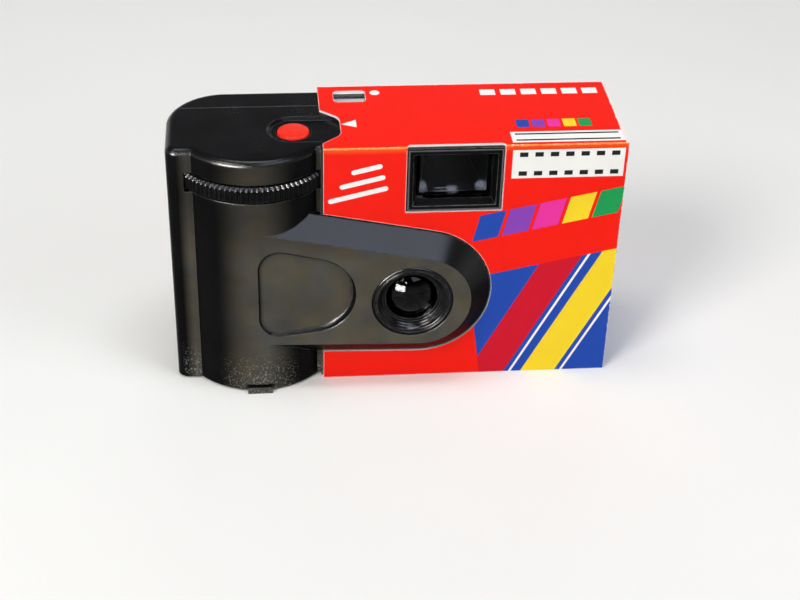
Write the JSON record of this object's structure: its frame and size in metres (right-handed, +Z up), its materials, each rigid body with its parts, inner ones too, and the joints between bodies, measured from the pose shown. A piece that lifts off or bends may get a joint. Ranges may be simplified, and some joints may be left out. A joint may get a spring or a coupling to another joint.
{
  "type": "disposable film camera",
  "caption": "Disposable film camera: black moulded body with a round film grip, thumbwheel advance, push button, fixed lens boss and viewfinder, in a red printed carton sleeve.",
  "frame": {"origin": "centre of the bounding box at the underside, on the surface that the camera stands on", "axes": "+Z up, +X to the viewer's right as the lens is faced, -Y the way the lens looks"},
  "size_m": [0.098, 0.0368, 0.06],
  "materials": {
    "carton": "printed satin",
    "black_shell": "fine moulded texture",
    "dark_frame": "plain moulded",
    "black_gloss": "smooth",
    "clear": "clear moulded",
    "red_button": "satin",
    "white_plastic": "plain moulded",
    "amber_plastic": "natural moulded",
    "thin_steel": "rolled",
    "spring_steel": "drawn wire",
    "painted_can": "lacquered",
    "felt": "plush",
    "film_base": "film base"
  },
  "bodies": {
    "camera": {"carton_sleeve": "carton", "front_cover": "black_shell", "back_cover": "black_shell", "chassis": "dark_frame", "lens_ring": "black_gloss", "lens": "clear", "aperture_plate": "thin_steel", "lens_holder": "dark_frame", "viewfinder_lens": "clear", "viewfinder_tunnel": "dark_frame", "eyepiece": "clear", "counter_window": "clear", "cartridge_shell": "painted_can", "cartridge_caps": "thin_steel", "light_trap_felt": "felt", "film_strip": "film_base", "hammer_spring": "spring_steel", "blade_spring": "spring_steel"},
    "advance": {"thumbwheel": "black_shell", "cartridge_spool": "dark_frame", "exposed_film": "film_base"},
    "film_drive": {"sprocket": "white_plastic", "shutter_cam": "amber_plastic"},
    "supply": {"supply_spool": "dark_frame", "film_roll": "film_base"},
    "counter": {"counter_disc": "white_plastic"},
    "button": {"shutter_button": "red_button"},
    "lever": {"release_lever": "amber_plastic"},
    "hammer": {"shutter_hammer": "amber_plastic"},
    "blade": {"shutter_blade": "thin_steel"},
    "door": {"film_door": "black_shell"}
  },
  "joints": [
    {"name": "wheel_turn", "type": "hinge", "parent": "camera", "child": "advance", "pos_m": [-0.0305, 0, 0.05176], "axis": [0, 0, 1], "continuous": true},
    {"name": "sprocket_turn", "type": "hinge", "parent": "camera", "child": "film_drive", "pos_m": [0.0016, 0.00545, 0.0374], "axis": [0, 0, 1], "continuous": true},
    {"name": "supply_turn", "type": "hinge", "parent": "camera", "child": "supply", "pos_m": [0.036, 0.0029, 0.02341], "axis": [0, 0, 1], "continuous": true},
    {"name": "counter_turn", "type": "hinge", "parent": "camera", "child": "counter", "pos_m": [-0.0091, 0.0032, 0.0554], "axis": [0, 0, 1], "continuous": true},
    {"name": "button_press", "type": "slide", "parent": "camera", "child": "button", "axis": [0, 0, -1], "range_m": [0, 0.0008], "stiffness_N_per_m": 800},
    {"name": "lever_rock", "type": "hinge", "parent": "camera", "child": "lever", "pos_m": [-0.01, -0.0097, 0.05526], "axis": [0, -1, 0], "range_deg": [0, 3.9]},
    {"name": "hammer_swing", "type": "hinge", "parent": "camera", "child": "hammer", "pos_m": [-0.0065, -0.0098, 0.04651], "axis": [0, -1, 0], "range_deg": [0, 12]},
    {"name": "blade_swing", "type": "hinge", "parent": "camera", "child": "blade", "pos_m": [-0.005, -0.00885, 0.03301], "axis": [0, 1, 0], "range_deg": [0, 30.5], "stiffness_Nm_per_rad": 0.002},
    {"name": "door_open", "type": "hinge", "parent": "camera", "child": "door", "pos_m": [-0.0305, 0.01, 0.00106], "axis": [1, 0, 0], "range_deg": [0, 100]}
  ],
  "couplings": [
    {"joint": "sprocket_turn", "follows": "wheel_turn", "ratio": 1.0913},
    {"joint": "supply_turn", "follows": "wheel_turn", "ratio": 0.80488},
    {"joint": "counter_turn", "follows": "wheel_turn", "ratio": -0.036376},
    {"joint": "lever_rock", "follows": "button_press", "rad_per_m": 84.1},
    {"joint": "blade_swing", "follows": "hammer_swing", "ratio": 2.5}
  ]
}
